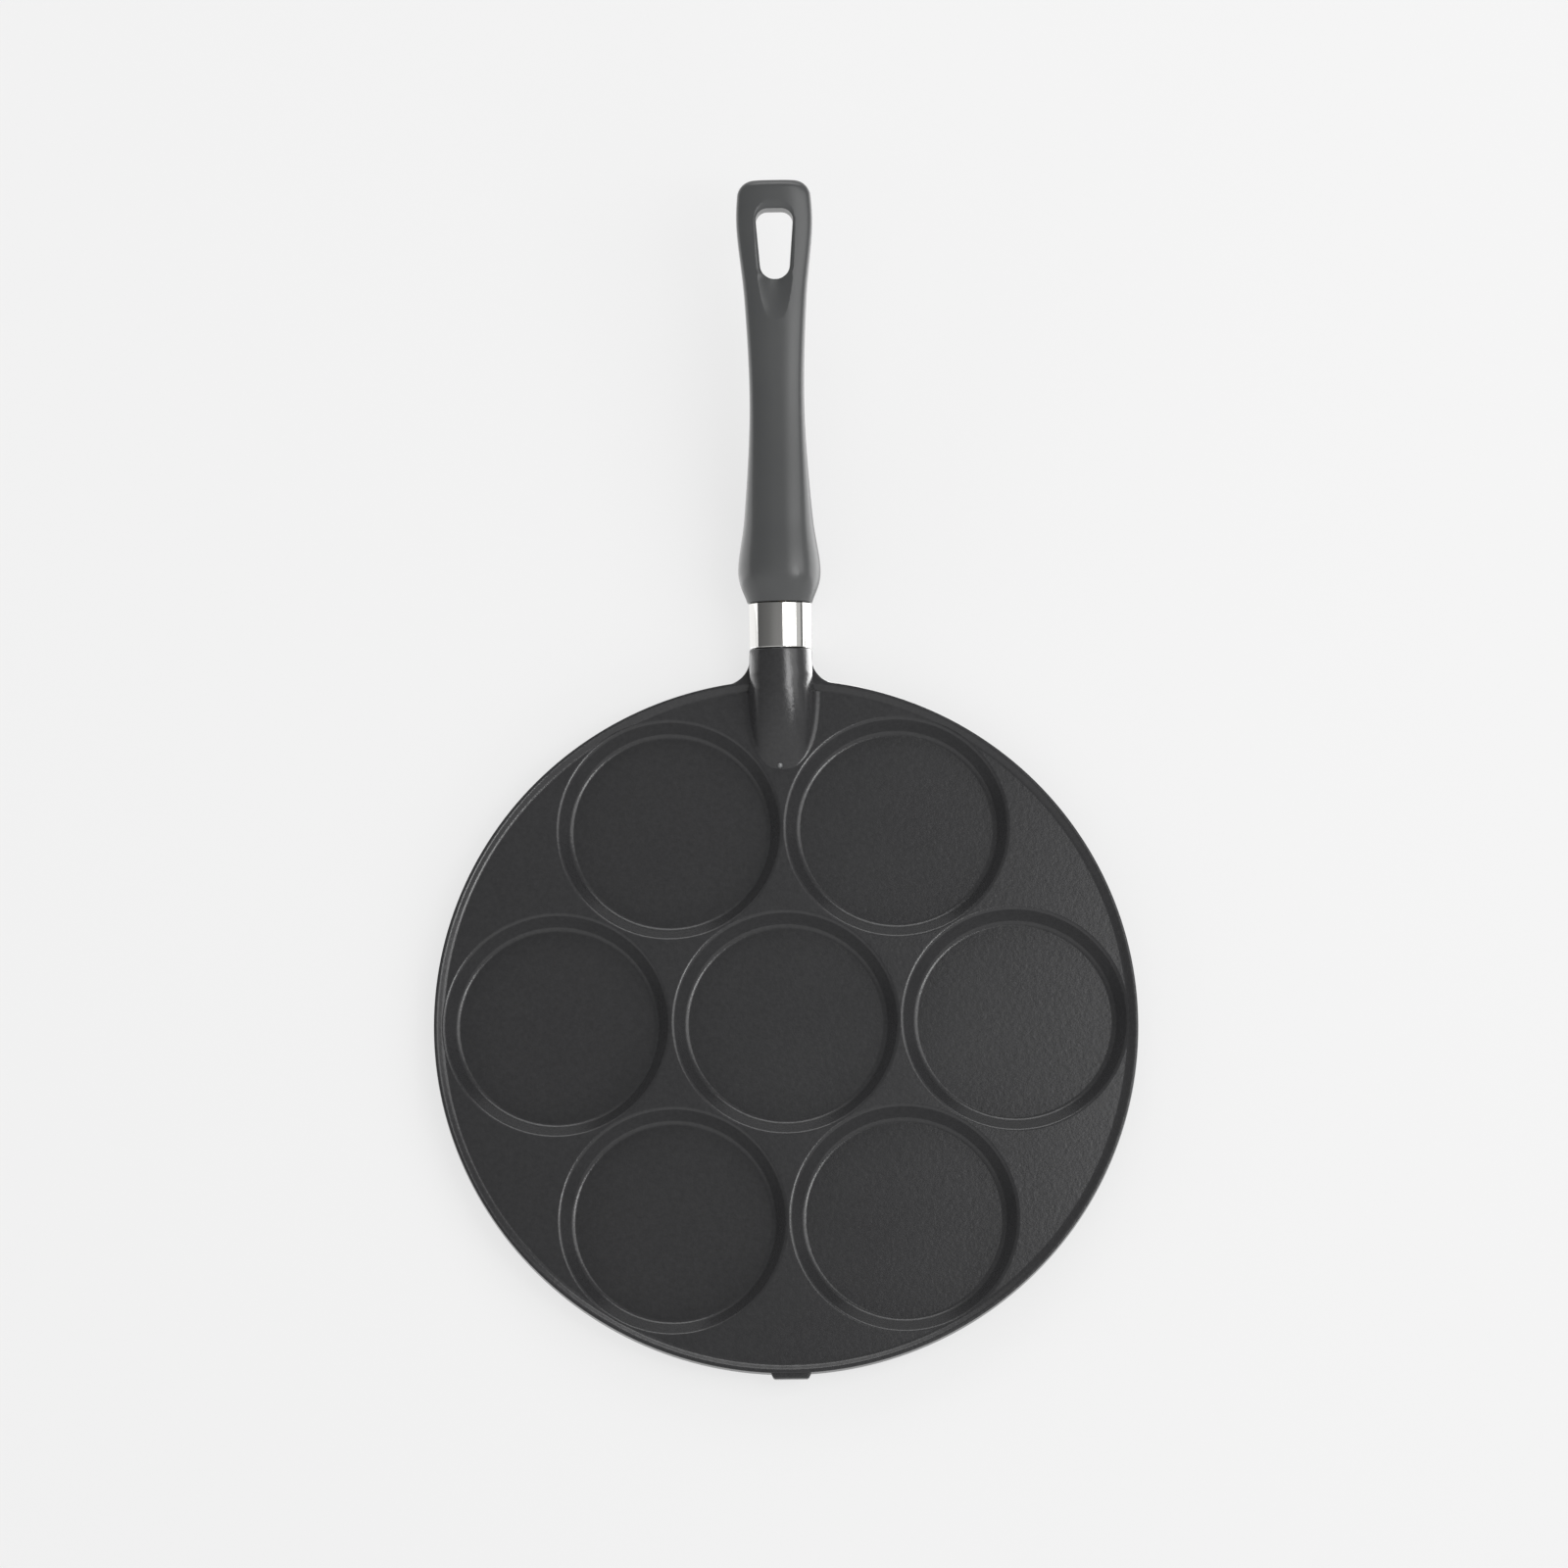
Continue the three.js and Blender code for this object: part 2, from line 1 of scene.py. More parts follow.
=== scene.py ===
# %% [markdown]
# # A cast plett pan
# A plett pan bakes seven small pancakes at once. It is one aluminium casting with a matte black
# non-stick coating, a polished steel flame guard and a moulded phenolic handle. The imported model
# is the frame that everything here is built around, so the first cell loads it and sets each solid in
# place.

# %% Load the frame
import math

import bmesh
import bpy
from mathutils import Matrix, Vector


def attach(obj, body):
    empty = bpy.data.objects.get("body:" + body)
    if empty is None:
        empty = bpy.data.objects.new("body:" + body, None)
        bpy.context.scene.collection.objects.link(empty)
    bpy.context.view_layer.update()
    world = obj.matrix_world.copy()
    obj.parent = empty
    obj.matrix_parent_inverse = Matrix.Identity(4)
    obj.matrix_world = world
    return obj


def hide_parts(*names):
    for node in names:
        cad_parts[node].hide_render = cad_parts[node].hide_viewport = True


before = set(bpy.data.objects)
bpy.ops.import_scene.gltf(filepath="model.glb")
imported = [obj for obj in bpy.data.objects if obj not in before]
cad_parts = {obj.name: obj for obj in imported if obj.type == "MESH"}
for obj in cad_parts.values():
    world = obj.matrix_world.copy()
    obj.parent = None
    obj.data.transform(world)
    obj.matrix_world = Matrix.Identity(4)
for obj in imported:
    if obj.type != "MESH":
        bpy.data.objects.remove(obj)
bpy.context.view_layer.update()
MM = 0.001
print("frame nodes:", sorted(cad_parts))

# %% [markdown]
# ## The camera
# The photograph looks down on the wells from a little below the pan's centre, through a long lens.
# A camera can be placed by eye, but then the wells never quite line up. So its place and turn were
# found by matching the rim and the wells, and they are written here as plain numbers: millimetres
# from the middle well, and degrees.

# %% Camera
lens = bpy.data.cameras.new("photo_camera")
lens.sensor_width = 36.0
lens.lens = 111.15
lens.clip_end = 20.0
camera = bpy.data.objects.new("photo_camera", lens)
camera.location = Vector((-0.1, -332.3, 1816.5)) * MM
camera.rotation_euler = [math.radians(angle) for angle in (13.229, 0.174, -0.830)]
bpy.context.scene.collection.objects.link(camera)
bpy.context.scene.camera = camera
print("camera distance in mm:", round(camera.location.length / MM))

# %% [markdown]
# ## Shaping tools
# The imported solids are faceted, and the camera would show that on polished and rounded edges. So
# the visible pieces are made again from the same sizes, with finer curves and softer edges. A few
# small tools are enough: one rounds the corners of an outline, one skins a row of rings, one spins
# a profile, one joins or cuts two solids, and one sets the shading. They take plain lists of points,
# which keeps every size in sight.

# %% Outlines
def between(a, b, share):
    """A value part of the way from a to b."""
    return a + (b - a) * share


def rounded(corners, steps):
    """Rounds each corner of an outline that carries a radius; rows are x, y and an optional radius."""
    points = []
    for i, row in enumerate(corners):
        corner = Vector(row[:2])
        radius = row[2] if len(row) > 2 else 0.0
        if radius == 0.0:
            points.append(corner)
            continue
        back = (Vector(corners[i - 1][:2]) - corner).normalized()
        ahead = (Vector(corners[(i + 1) % len(corners)][:2]) - corner).normalized()
        half = back.angle(ahead) / 2
        centre = corner + (back + ahead).normalized() * (radius / math.sin(half))
        start = corner + back * (radius / math.tan(half)) - centre
        turn = math.copysign(math.pi - 2 * half, back.x * start.y - back.y * start.x)
        for k in range(steps + 1):
            angle = turn * k / steps
            spun = Matrix.Rotation(angle, 2) @ start
            points.append(centre + spun)
    return points


# %% Skins
def skin(name, rings, closed=False):
    """A solid through rings of equal length, in millimetres; its ends are closed unless it is a loop."""
    work = bmesh.new()
    rows = [[work.verts.new(Vector(p) * MM) for p in ring] for ring in rings]
    count = len(rings[0])
    pairs = list(zip(rows, rows[1:] + rows[:1])) if closed else list(zip(rows, rows[1:]))
    for low, high in pairs:
        for j in range(count):
            k = (j + 1) % count
            work.faces.new((low[j], low[k], high[k], high[j]))
    if not closed:
        work.faces.new(list(reversed(rows[0])))
        work.faces.new(rows[-1])
    bmesh.ops.remove_doubles(work, verts=work.verts, dist=1e-7)
    bmesh.ops.recalc_face_normals(work, faces=work.faces)
    mesh = bpy.data.meshes.new(name)
    work.to_mesh(mesh)
    work.free()
    piece = bpy.data.objects.new(name, mesh)
    bpy.context.scene.collection.objects.link(piece)
    return piece


def turned(name, profile, facets, place=None, closed=False):
    """Spins rows of radius and height round z and lays the result at a place."""
    place = place or Matrix.Identity(4)
    turns = [2 * math.pi * j / facets for j in range(facets)]
    rings = [[place @ Vector((r * math.cos(a), r * math.sin(a), h)) for a in turns] for r, h in profile]
    return skin(name, rings, closed)


# %% Joining and shading
def combine(base, tool, operation):
    """Joins a solid to the base or cuts it away, and throws the tool away."""
    step = base.modifiers.new("combine", "BOOLEAN")
    step.object = tool
    step.operation = operation
    step.solver = "MANIFOLD"
    ready = base.evaluated_get(bpy.context.evaluated_depsgraph_get())
    mesh = bpy.data.meshes.new_from_object(ready)
    base.modifiers.remove(step)
    old, base.data = base.data, mesh
    bpy.data.meshes.remove(old)
    bpy.data.objects.remove(tool)


def smooth(piece, angle):
    """Shades a piece smoothly across edges flatter than the angle, with flat faces kept flat."""
    piece.data.shade_smooth()
    piece.data.set_sharp_from_angle(angle=math.radians(angle))
    weight = piece.modifiers.new("flat_faces_first", "WEIGHTED_NORMAL")
    weight.keep_sharp = True
    weight.weight = 100
    print(piece.name, "faces:", len(piece.data.polygons))


# %% [markdown]
# ## Sizes of the casting
# A pan like this is drawn from its wells outward. The wells are three inches across on the floor,
# they nearly touch, and the rim stands just outside them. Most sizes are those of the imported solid,
# so the fine pieces land on the coarse ones. Only the rim is a lower, gentler lip here, and the
# edges of the wells are rounder, because the light on the real pan shows them so.

# %% Casting sizes in millimetres
well_depth, floor_thickness, plate_thickness, wall_thickness = 6.35, 4.0, 4.0, 4.0
lean = math.radians(35)
floor_radius = 38.1
floor_fillet, mouth_fillet, mouth_lip = 2.6, 1.8, 0.62
plate_top = floor_thickness + well_depth
plate_under = plate_top - plate_thickness
rim_top = plate_top + 1.4
mouth_radius = floor_radius + well_depth * math.tan(lean)
mouth_reach = mouth_radius + mouth_lip
ring_radius = 2 * mouth_reach + 0.55
rim_root = ring_radius + mouth_reach + 0.3
pan_radius = rim_root + 2.98
well_centres = [Vector((0, 0, 0))]
for k in range(6):
    well_centres.append(Matrix.Rotation(k * math.pi / 3, 3, "Z") @ Vector((ring_radius, 0, 0)))
print("pan diameter in mm:", round(2 * pan_radius, 1))

# %% [markdown]
# ## Plate and pads
# The plate and its rim could be one turned profile. But the shoulders and the lug are joined to the
# rim's outside and must not stand inside it, so the casting starts as a plain disc as high as the
# rim, and its dish is cut after they are on. Below, each well shows as a flat round pad, and the pan
# stands on those seven pads. They are turned too, and joined to the disc one by one.

# %% Plate and pads
plate_profile = rounded([
    (0, plate_under),
    (pan_radius + 0.4, plate_under, 1.2),
    (pan_radius, rim_top, 0.35),
    (0, rim_top),
], 8)
pan = turned("pan_casting", plate_profile, 224)


def wall_at(height):
    """Outer radius of a well's wall below the plate."""
    return floor_radius + (height - floor_thickness) * math.tan(lean) + wall_thickness / math.cos(lean)


pad_top = plate_under + plate_thickness / 4
pad_profile = rounded([
    (0, 0),
    (wall_at(0), 0, 1.5),
    (wall_at(pad_top), pad_top),
    (0, pad_top),
], 5)
for centre in well_centres:
    combine(pan, turned("pad", pad_profile, 112, Matrix.Translation(centre)), "UNION")
print("pads joined:", len(well_centres))

# %% [markdown]
# ## Shoulders, lug and dish
# Two hollow curves carry the boss into the rim, and a small lug sits on the rim straight opposite
# the handle. They could be bevelled boxes, but a flat outline skinned through a few levels gives an
# even round edge all the way along. Then one shallow dish is cut out of the top. Its floor is the
# plate, and its side is the rim's inner slope with a wide cove at the root.

# %% Slabs with rounded edges
edge = 0.8
edge_turns = [math.pi / 2 * k / 4 for k in range(5)]
insets = [(edge * (1 - math.sin(a)), edge * (1 - math.cos(a))) for a in edge_turns]


def slab(name, outline_at, low, high):
    """A flat piece with rounded edges; outline_at gives its outline drawn in by a distance."""
    levels = [(inset, low + lift) for inset, lift in insets]
    levels += [(inset, high - lift) for inset, lift in reversed(insets)]
    return skin(name, [[(p.x, p.y, h) for p in outline_at(inset)] for inset, h in levels])


# %% Shoulders
boss_radius, shoulder_fillet = 12.0, 10.5
shoulder_x = boss_radius + shoulder_fillet
shoulder_y = math.sqrt((pan_radius + shoulder_fillet) ** 2 - shoulder_x ** 2)
shoulder_turn = math.atan2(shoulder_y, shoulder_x)
rim_middle = pan_radius - 2 * edge


def shoulder_outline(inset):
    """Right hollow, left hollow, then back along the middle of the rim."""
    reach = shoulder_fillet + inset
    right = [math.pi + shoulder_turn * (1 - k / 16) for k in range(17)]
    points = [Vector((shoulder_x + reach * math.cos(a), shoulder_y + reach * math.sin(a))) for a in right]
    points += [Vector((-p.x, p.y)) for p in reversed(points)]
    sweep = [math.pi - shoulder_turn + (2 * shoulder_turn - math.pi) * k / 12 for k in range(13)]
    return points + [Vector((rim_middle * math.cos(a), rim_middle * math.sin(a))) for a in sweep]


combine(pan, slab("shoulders", shoulder_outline, plate_under + 0.6, rim_top), "UNION")
print("shoulder curve in mm:", shoulder_fillet)

# %% Lug
lug_root_half, lug_tip_half, lug_reach, lug_corner = 8.25, 6.5, 2.0, 1.2


def lug_outline(inset):
    """A short tab, a little narrower at its tip."""
    tip = -(pan_radius + lug_reach) + inset
    return rounded([
        (-lug_root_half + inset, -rim_middle),
        (-lug_tip_half + inset, tip, lug_corner),
        (lug_tip_half - inset, tip, lug_corner),
        (lug_root_half - inset, -rim_middle),
    ], 6)


combine(pan, slab("lug", lug_outline, plate_under + 0.3, rim_top - 0.4), "UNION")
print("lug width in mm:", 2 * lug_root_half)

# %% Dish
# The last corner only aims the round at the top of the slope, so it is dropped.
cove, lip_round = 2.6, 1.6
dish_profile = rounded([
    (0, plate_top),
    (rim_root - 0.3, plate_top, cove),
    (rim_root + 1.7, rim_top, lip_round),
    (pan_radius, rim_top),
], 10)[:-1]
dish_profile += [Vector((dish_profile[-1].x, rim_top + 1.0)), Vector((0, rim_top + 1.0))]
combine(pan, turned("dish", dish_profile, 224), "DIFFERENCE")
print("dish depth in mm:", round(rim_top - plate_top, 2))

# %% [markdown]
# ## The boss
# The handle needs a thick root. The casting gives it an arched tongue that climbs from between two
# wells, passes over the rim and ends in a round face. It could be a bent cylinder, but its foot
# keeps one width while its crown sinks into the plate, so it is skinned from sections: arches on
# the plate first, then full rounds outside the rim.

# %% Boss crown
rise = math.radians(11)
boss_swell = 0.4
boss_tip = pan_radius - 34.6
seam_crown_y = pan_radius + 9.05
crown_rise, tip_step, tip_radius, foot_fillet = 15.25, 0.5, 13.4, 3.0
run = seam_crown_y - boss_tip
tip_slope, end_slope = math.tan(math.radians(32)), math.tan(rise)
climb = (crown_rise - tip_step) / run
crown_bend = (3 * climb - 2 * tip_slope - end_slope) / run
crown_twist = (tip_slope + end_slope - 2 * climb) / run ** 2


def crown_height(t):
    """Height of the boss's crown above the plate, t millimetres out from its tip."""
    return tip_step + t * (tip_slope + t * (crown_bend + t * crown_twist))


print("crown over the rim in mm:", round(crown_height(pan_radius - boss_tip), 2))

# %% Boss sections
def sunk_round(height, radius):
    """Section of the boss on the plate, from the right foot over the crown to the left foot."""
    sunk = radius - height
    toe = math.sqrt((radius + foot_fillet) ** 2 - (foot_fillet + sunk) ** 2)
    spring = math.atan2(foot_fillet + sunk, toe)
    right = [Vector((toe, plate_top - plate_thickness / 2))]
    for k in range(8):
        angle = between(1.5 * math.pi, math.pi + spring, k / 8)
        x = toe + foot_fillet * math.cos(angle)
        right.append(Vector((x, plate_top + foot_fillet * (1 + math.sin(angle)))))
    crown = []
    for k in range(33):
        angle = between(spring, math.pi - spring, k / 32)
        crown.append(Vector((radius * math.cos(angle), plate_top - sunk + radius * math.sin(angle))))
    return right + crown + [Vector((-p.x, p.y)) for p in reversed(right)]


def full_round(radius, keel):
    """Section of the boss outside the rim, with a flatter underside near the rim."""
    right = [math.radians(-85 + 10 * k) for k in range(9)]
    lower = [Vector((radius * math.cos(a), keel * math.sin(a))) for a in right]
    over = [math.pi * k / 32 for k in range(33)]
    crown = [Vector((radius * math.cos(a), radius * math.sin(a))) for a in over]
    return lower + crown + [Vector((-p.x, p.y)) for p in reversed(lower)]


def tilted(angle, origin):
    """A section plane: x to the left, y up, z outward along the handle."""
    up = Vector((0, -math.sin(angle), math.cos(angle)))
    out = Vector((0, math.cos(angle), math.sin(angle)))
    turn = Matrix((Vector((-1, 0, 0)), up, out)).transposed().to_4x4()
    return Matrix.Translation(origin) @ turn


def laid(outline, plane):
    """An outline's points placed on a section plane."""
    return [plane @ Vector((p.x, p.y, 0)) for p in outline]


# %% Boss seam
up_axis = Vector((0, -math.sin(rise), math.cos(rise)))
out_axis = Vector((0, math.cos(rise), math.sin(rise)))
seam = Vector((0, seam_crown_y, plate_top + crown_rise)) - up_axis * boss_radius
on_seam = tilted(rise, seam)
print("seam centre in mm:", [round(v, 2) for v in seam])

# %% Boss skin
# First the toe, then arches on the plate, rounds outside the rim, and an eased edge at the seam.
keel_at_rim, seam_ease = 6, 0.45
boss_rings = [laid(sunk_round(tip_step / 10, tip_radius), tilted(0, Vector((0, boss_tip - tip_step, 0))))]
for k in range(29):
    share = 0.95 * (k / 28) ** 1.4
    t = share * (rim_root - boss_tip)
    section = sunk_round(crown_height(t), between(tip_radius, boss_radius + boss_swell, share))
    boss_rings.append(laid(section, tilted(0, Vector((0, boss_tip + t, 0)))))
for k in range(8):
    share = 0.05 + 0.75 * k / 7
    y = pan_radius + (seam_crown_y - pan_radius) * share
    radius = boss_radius + boss_swell * (1 - share)
    up = Vector((0, -math.sin(rise * share), math.cos(rise * share)))
    centre = Vector((0, y, plate_top + crown_height(y - boss_tip))) - up * radius
    keel = between(keel_at_rim, boss_radius, share)
    boss_rings.append(laid(full_round(radius, keel), tilted(rise * share, centre)))
for k in range(5):
    angle = k * math.pi / 8
    plane = tilted(rise, seam + out_axis * (seam_ease * (math.sin(angle) - 1)))
    size = boss_radius - seam_ease * (1 - math.cos(angle))
    boss_rings.append(laid(full_round(size, size), plane))
combine(pan, skin("boss", boss_rings), "UNION")
print("boss sections:", len(boss_rings))

# %% [markdown]
# ## The pip
# A tiny pip stands at the boss's tip, where the metal was broken off its feeder. It could be painted
# on the casting, but the coating wears through there first, so it is a small dome of its own that
# can show bare metal.

# %% Pip
pip_radius, pip_side, pip_out, pip_sunk = 1.1, -0.85, 0.8, 0.35
pip_turns = [math.pi * (k / 12 - 0.5) for k in range(1, 12)]
pip_profile = [Vector((pip_radius * math.cos(a), pip_radius * math.sin(a))) for a in pip_turns]
pip_place = Vector((pip_side, boss_tip + pip_out, plate_top + crown_height(pip_out) - pip_sunk))
pip = turned("bare_pip", pip_profile, 32, Matrix.Translation(pip_place))
smooth(pip, 60)

# %% [markdown]
# ## Wells
# Each well holds one pancake, and its wall leans so that a spatula slides in. The wells could be
# part of the plate's mesh, but they are cut last, so that they bite into the feet of the boss as
# they do on the real casting. One turned cutter does for all seven: a flat floor, a leaning wall
# and two soft fillets.

# %% Wells
# The last corner only aims the mouth's fillet, so it is dropped.
clear_height = plate_top + crown_rise + boss_radius
well_profile = rounded([
    (0, floor_thickness),
    (floor_radius, floor_thickness, floor_fillet),
    (mouth_radius, plate_top, mouth_fillet),
    (mouth_reach + 2.0, plate_top),
], 10)[:-1]
well_profile += [Vector((well_profile[-1].x, clear_height)), Vector((0, clear_height))]
for centre in well_centres:
    combine(pan, turned("well", well_profile, 128, Matrix.Translation(centre)), "DIFFERENCE")
smooth(pan, 32)

# %% [markdown]
# ## The flame guard
# The flame guard is a short drawn tube that keeps the burner's heat off the handle. Blender's own
# cylinder would have sharp ends, so it is a turned ring with eased edges, laid along the handle's
# axis with a hair of room at both ends.

# %% Flame guard
gap, guard_length, guard_wall, guard_ease = 0.3, 17.4, 1.0, 0.4
guard_end = gap + guard_length
guard_profile = rounded([
    (boss_radius - guard_wall, gap, guard_ease),
    (boss_radius, gap, guard_ease),
    (boss_radius, guard_end, guard_ease),
    (boss_radius - guard_wall, guard_end, guard_ease),
], 6)
guard = turned("steel_flame_guard", guard_profile, 128, on_seam, closed=True)
smooth(guard, 50)

# %% [markdown]
# ## The handle
# The handle is one moulding. It is round where it meets the flame guard, has a gently crowned face
# and sloped flanks at the bulb, is nearly square at the slim grip, and ends in a flat loop. A lathe
# or a box can't change like that along its length, so it is skinned from soft rectangles. Their
# widths and thicknesses follow one smooth curve through a few measured places.

# %% Handle places
grip_start = guard_end + gap
handle_length = 163.3
grip_end = grip_start + handle_length
bulb_place = grip_start + handle_length * 0.063
neck_place = grip_start + handle_length * 0.46
loop_place = grip_start + handle_length * 0.902
form_rows = [
    (grip_start, 25.0, 25.0),
    (bulb_place, 31.6, 30.0),
    (between(bulb_place, neck_place, 0.35), 26.4, 25.4),
    (neck_place, 21.2, 17.0),
    (between(neck_place, loop_place, 0.58), 24.0, 15.0),
    (loop_place, 29.5, 13.0),
    (grip_end, 27.6, 13.0),
]
form = [Vector((s, width / 2, thickness / 2)) for s, width, thickness in form_rows]
form = [2 * form[0] - form[1]] + form + [2 * form[-1] - form[-2]]
print("handle length in mm:", handle_length)

# %% Handle curve
# Each round of blending takes one point off the row. The table gives the first knot and the reach.
blend_rounds = ((0, 1), (0, 2), (1, 1))


def catmull(p, share):
    """A point on the smooth curve between the two middle ones of four points, evenly paced."""
    knots = [0.0]
    for a, b in zip(p, p[1:]):
        knots.append(knots[-1] + (b - a).length ** 0.5)
    t = between(knots[1], knots[2], share)
    row = list(p)
    for first, reach in blend_rounds:
        blended = []
        for i in range(len(row) - 1):
            low, high = knots[first + i], knots[first + i + reach]
            blended.append(row[i].lerp(row[i + 1], (t - low) / (high - low)))
        row = blended
    return row[0]


curve = []
for i in range(1, len(form) - 2):
    curve += [catmull(form[i - 1:i + 3], k / 40) for k in range(40)]
curve.append(form[-2])


def form_at(s):
    """Half width and half thickness of the handle, s millimetres out from the seam."""
    for a, b in zip(curve, curve[1:]):
        if b.x >= s - 1e-6:
            share = (s - a.x) / (b.x - a.x)
            return between(a.y, b.y, share), between(a.z, b.z, share)
    return curve[-1].y, curve[-1].z


print("bulb half sizes in mm:", [round(v, 2) for v in form_at(bulb_place)])

# %% Handle sections
end_round, end_ease = 6.0, 3.0


def soft_rectangle(half_width, half_height, face, flank, count):
    """An outline between an ellipse and a box; face and flank say how flat its front and sides are."""
    points = []
    for k in range(count):
        c, s = math.cos(2 * math.pi * k / count), math.sin(2 * math.pi * k / count)
        x = math.copysign(abs(c) ** (2 / face), c) * half_width
        points.append(Vector((x, math.copysign(abs(s) ** (2 / flank), s) * half_height)))
    return points


def eased(s, start, end):
    """How far s has come from start to end, with a soft start and stop."""
    share = min(1.0, max(0.0, (s - start) / (end - start)))
    return share * share * (3 - 2 * share)


def corner_loss(s, radius):
    """How much a rounded end has drawn in at s."""
    past = max(0.0, s - (grip_end - radius))
    return radius - math.sqrt(max(0.0, radius ** 2 - past ** 2))


def handle_ring(s):
    """One ring of the skin: round at the start, a crowned face and sloped flanks at the bulb."""
    half_width, half_thickness = form_at(s)
    to_bulb, to_neck = eased(s, grip_start, bulb_place), eased(s, bulb_place, neck_place)
    face = between(between(2.0, 3.1, to_bulb), 2.9, to_neck)
    flank = between(between(2.0, 1.7, to_bulb), 3.8, to_neck)
    wide, thick = half_width - corner_loss(s, end_round), half_thickness - corner_loss(s, end_ease)
    return laid(soft_rectangle(wide, thick, face, flank, 128), tilted(rise, seam + out_axis * s))


# %% Handle skin
places = [between(grip_start, grip_end - end_round, k / 110) for k in range(110)]
places += [grip_end - end_round * (1 - math.sin(math.pi / 2 * k / 14)) for k in range(15)]
handle = skin("phenolic_handle", [handle_ring(s) for s in places])
print("handle rings:", len(places))

# %% [markdown]
# ## Slot and scoop
# The hanging slot goes right through the loop, and a shallow scoop leads into its lower end. A
# bevel could soften the slot's edges, but it stumbles where the scoop runs in. So the slot's cutter
# flares at both faces along a quarter round, which leaves the soft edges by itself. The scoop's
# cutter is a dish with soft sides that grows shallow until it runs out.

# %% Slot
slot_top = grip_end - 11.2
slot_bottom = slot_top - 27.2
half_bottom, half_top, bottom_round, top_round = 5.3, 7.5, 5.2, 4.5
slot_edge, back_edge, top_ease = 1.5, 1.2, 2.4


def slot_outline(extra):
    """The slot's outline, drawn out by a distance."""
    return rounded([
        (-half_bottom - extra, slot_bottom - extra, bottom_round + extra),
        (half_bottom + extra, slot_bottom - extra, bottom_round + extra),
        (half_top + extra, slot_top + top_ease * extra, top_round + extra),
        (-half_top - extra, slot_top + top_ease * extra, top_round + extra),
    ], 12)


loop_face = form_at(slot_top)[1]
flare = [math.pi / 2 * k / 8 for k in range(9)]
levels = [(-loop_face - 2.0, back_edge + 0.4)]
for a in reversed(flare):
    levels.append((-loop_face + back_edge * (1 - math.sin(a)), back_edge * (1 - math.cos(a))))
for a in flare:
    levels.append((loop_face - slot_edge + slot_edge * math.sin(a), slot_edge * (1 - math.cos(a))))
levels.append((loop_face + 2.0, slot_edge + 0.4))
slot_rings = [[on_seam @ Vector((p.x, h, p.y)) for p in slot_outline(extra)] for h, extra in levels]
combine(handle, skin("slot", slot_rings), "DIFFERENCE")
print("slot length in mm:", round(slot_top - slot_bottom, 1))

# %% Scoop
scoop_length, scoop_depth, scoop_wide, scoop_slim, into_slot = 16.0, 3.4, 17.0, 13.0, 0.36


def scoop_section(width, depth):
    """A shallow dish that eases out on both sides, open upward."""
    turns = [2 * math.pi * k / 40 for k in range(41)]
    dish = [Vector((width * (a / (2 * math.pi) - 0.5), -depth * (1 - math.cos(a)) / 2)) for a in turns]
    return [Vector((-width / 2, 2.0))] + dish + [Vector((width / 2, 2.0))]


scoop_rings = []
for k in range(25):
    share = -into_slot + (1 + into_slot) * k / 24
    s = slot_bottom - share * scoop_length
    width = between(scoop_wide, scoop_slim, share if share > 0 else -share / into_slot)
    depth = scoop_depth * (1 - share) ** 1.5 + 0.03
    plane = on_seam @ Matrix.Translation((0, form_at(s)[1], s))
    scoop_rings.append(laid(scoop_section(width, depth), plane))
combine(handle, skin("scoop", scoop_rings), "DIFFERENCE")
smooth(handle, 40)

# %% [markdown]
# ## Finishes
# Six finishes are needed: three that meet the eye at once, bare metal on the pip, and two on the
# pieces inside. Each colour is written as the hex value a paint chart would give, and one function
# turns it to the linear numbers that the shader needs. Another adds a node, sets it and links it,
# so that a finish reads as a short list.

# %% Colour and nodes
def linear(code):
    """An sRGB hex code as linear red, green, blue and alpha."""
    parts = [int(code[i:i + 2], 16) / 255 for i in (1, 3, 5)]
    return [c / 12.92 if c <= 0.04045 else ((c + 0.055) / 1.055) ** 2.4 for c in parts] + [1.0]


def finish_named(name):
    """A new material, its node tree and its shader."""
    material = bpy.data.materials.new(name)
    material.use_nodes = True
    tree = material.node_tree
    print("finish:", name)
    return material, tree, tree.nodes["Principled BSDF"]


def add(tree, kind, settings=None, links=None):
    """Adds a node, sets its properties or sockets by name, and links sockets to it."""
    node = tree.nodes.new(kind)
    for key, value in (settings or {}).items():
        if isinstance(key, str) and hasattr(node, key):
            setattr(node, key, value)
        else:
            node.inputs[key].default_value = value
    for key, source in (links or {}).items():
        tree.links.new(source, node.inputs[key])
    return node


# %% [markdown]
# ## Non-stick coating
# The coating is a near-black polymer, sprayed on a sand-cast surface and baked. Face on it looks
# matte, and at a slant it has a broad soft sheen. Its orange-peel grain could be real bumps in the
# mesh, but they are far too many, so a fine noise stands for them in colour and bump, and a slow
# mottling changes the sheen.

# %% Non-stick coating
# The real grain is about half a millimetre. It is drawn at 1.6 mm, because finer would not show.
coating, tree, shader = finish_named("baked_nonstick_coating")
where = add(tree, "ShaderNodeTexCoord")
grain = add(tree, "ShaderNodeTexNoise", {"Scale": 1 / (1.6 * MM), "Detail": 2.0, "Roughness": 0.6},
            {"Vector": where.outputs["Object"]})
mottle = add(tree, "ShaderNodeTexNoise", {"Scale": 1 / (45 * MM), "Detail": 4.0},
             {"Vector": where.outputs["Object"]})
tint = add(tree, "ShaderNodeValToRGB", None, {"Fac": grain.outputs["Fac"]})
tint.color_ramp.elements[0].color = linear("#262627")
tint.color_ramp.elements[1].color = linear("#323233")
sheen = add(tree, "ShaderNodeMapRange", {"To Min": 0.18, "To Max": 0.28}, {"Value": mottle.outputs["Fac"]})
